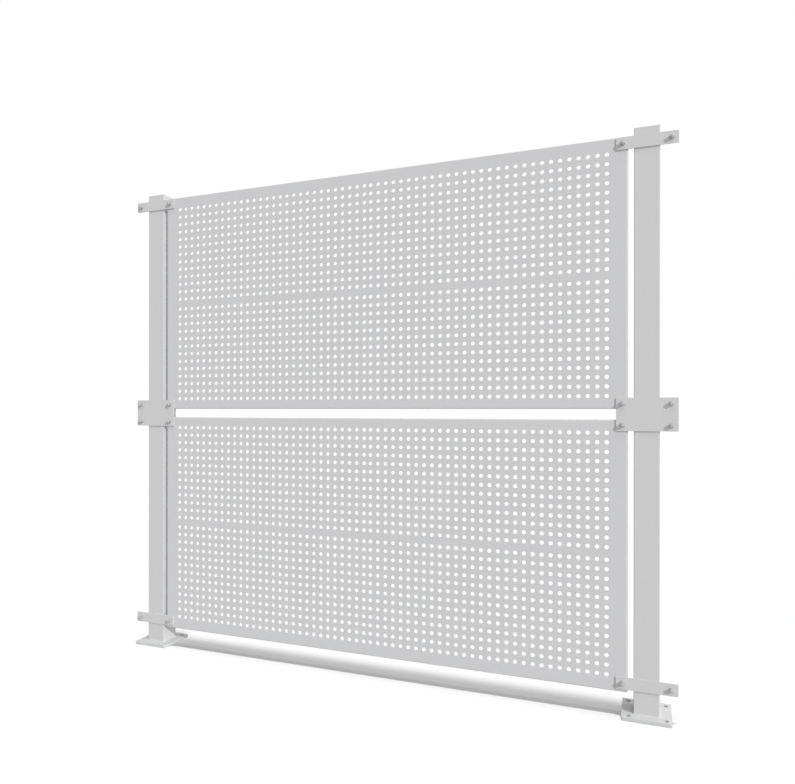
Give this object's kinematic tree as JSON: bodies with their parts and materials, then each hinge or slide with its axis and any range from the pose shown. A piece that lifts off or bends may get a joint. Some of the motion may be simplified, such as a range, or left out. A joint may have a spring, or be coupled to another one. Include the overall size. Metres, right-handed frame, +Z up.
{
  "type": "perforated barrier section",
  "caption": "Barrier bay of folded perforated sheet panels, one above the other, between square posts on foot plates, held by flat bolted ear brackets.",
  "frame": {"origin": "middle of the left foot plate's underside, below the left post's centre line", "axes": "+X along the barrier from the left post to the right one, +Y away from the front where the brackets are, +Z up"},
  "size_m": [1.623, 0.116, 1.4445],
  "materials": {
    "post_paint": "satin light grey powder coat",
    "foot_paint": "satin light grey powder coat",
    "panel_paint": "satin light grey powder coat",
    "bracket_paint": "satin light grey powder coat",
    "cap_plastic": "matt light grey"
  },
  "bodies": {
    "root": {"left_foot_plate": "foot_paint", "right_foot_plate": "foot_paint", "left_post": "post_paint", "right_post": "post_paint", "left_post_cap": "cap_plastic", "right_post_cap": "cap_plastic", "lower_panel_1": "panel_paint", "lower_panel_2": "panel_paint", "lower_panel_3": "panel_paint", "lower_panel_4": "panel_paint", "upper_panel_1": "panel_paint", "upper_panel_2": "panel_paint", "upper_panel_3": "panel_paint", "upper_panel_4": "panel_paint", "left_bottom_bracket": "bracket_paint", "right_bottom_bracket": "bracket_paint", "left_middle_bracket": "bracket_paint", "right_middle_bracket": "bracket_paint", "left_top_bracket": "bracket_paint", "right_top_bracket": "bracket_paint"}
  },
  "joints": []
}
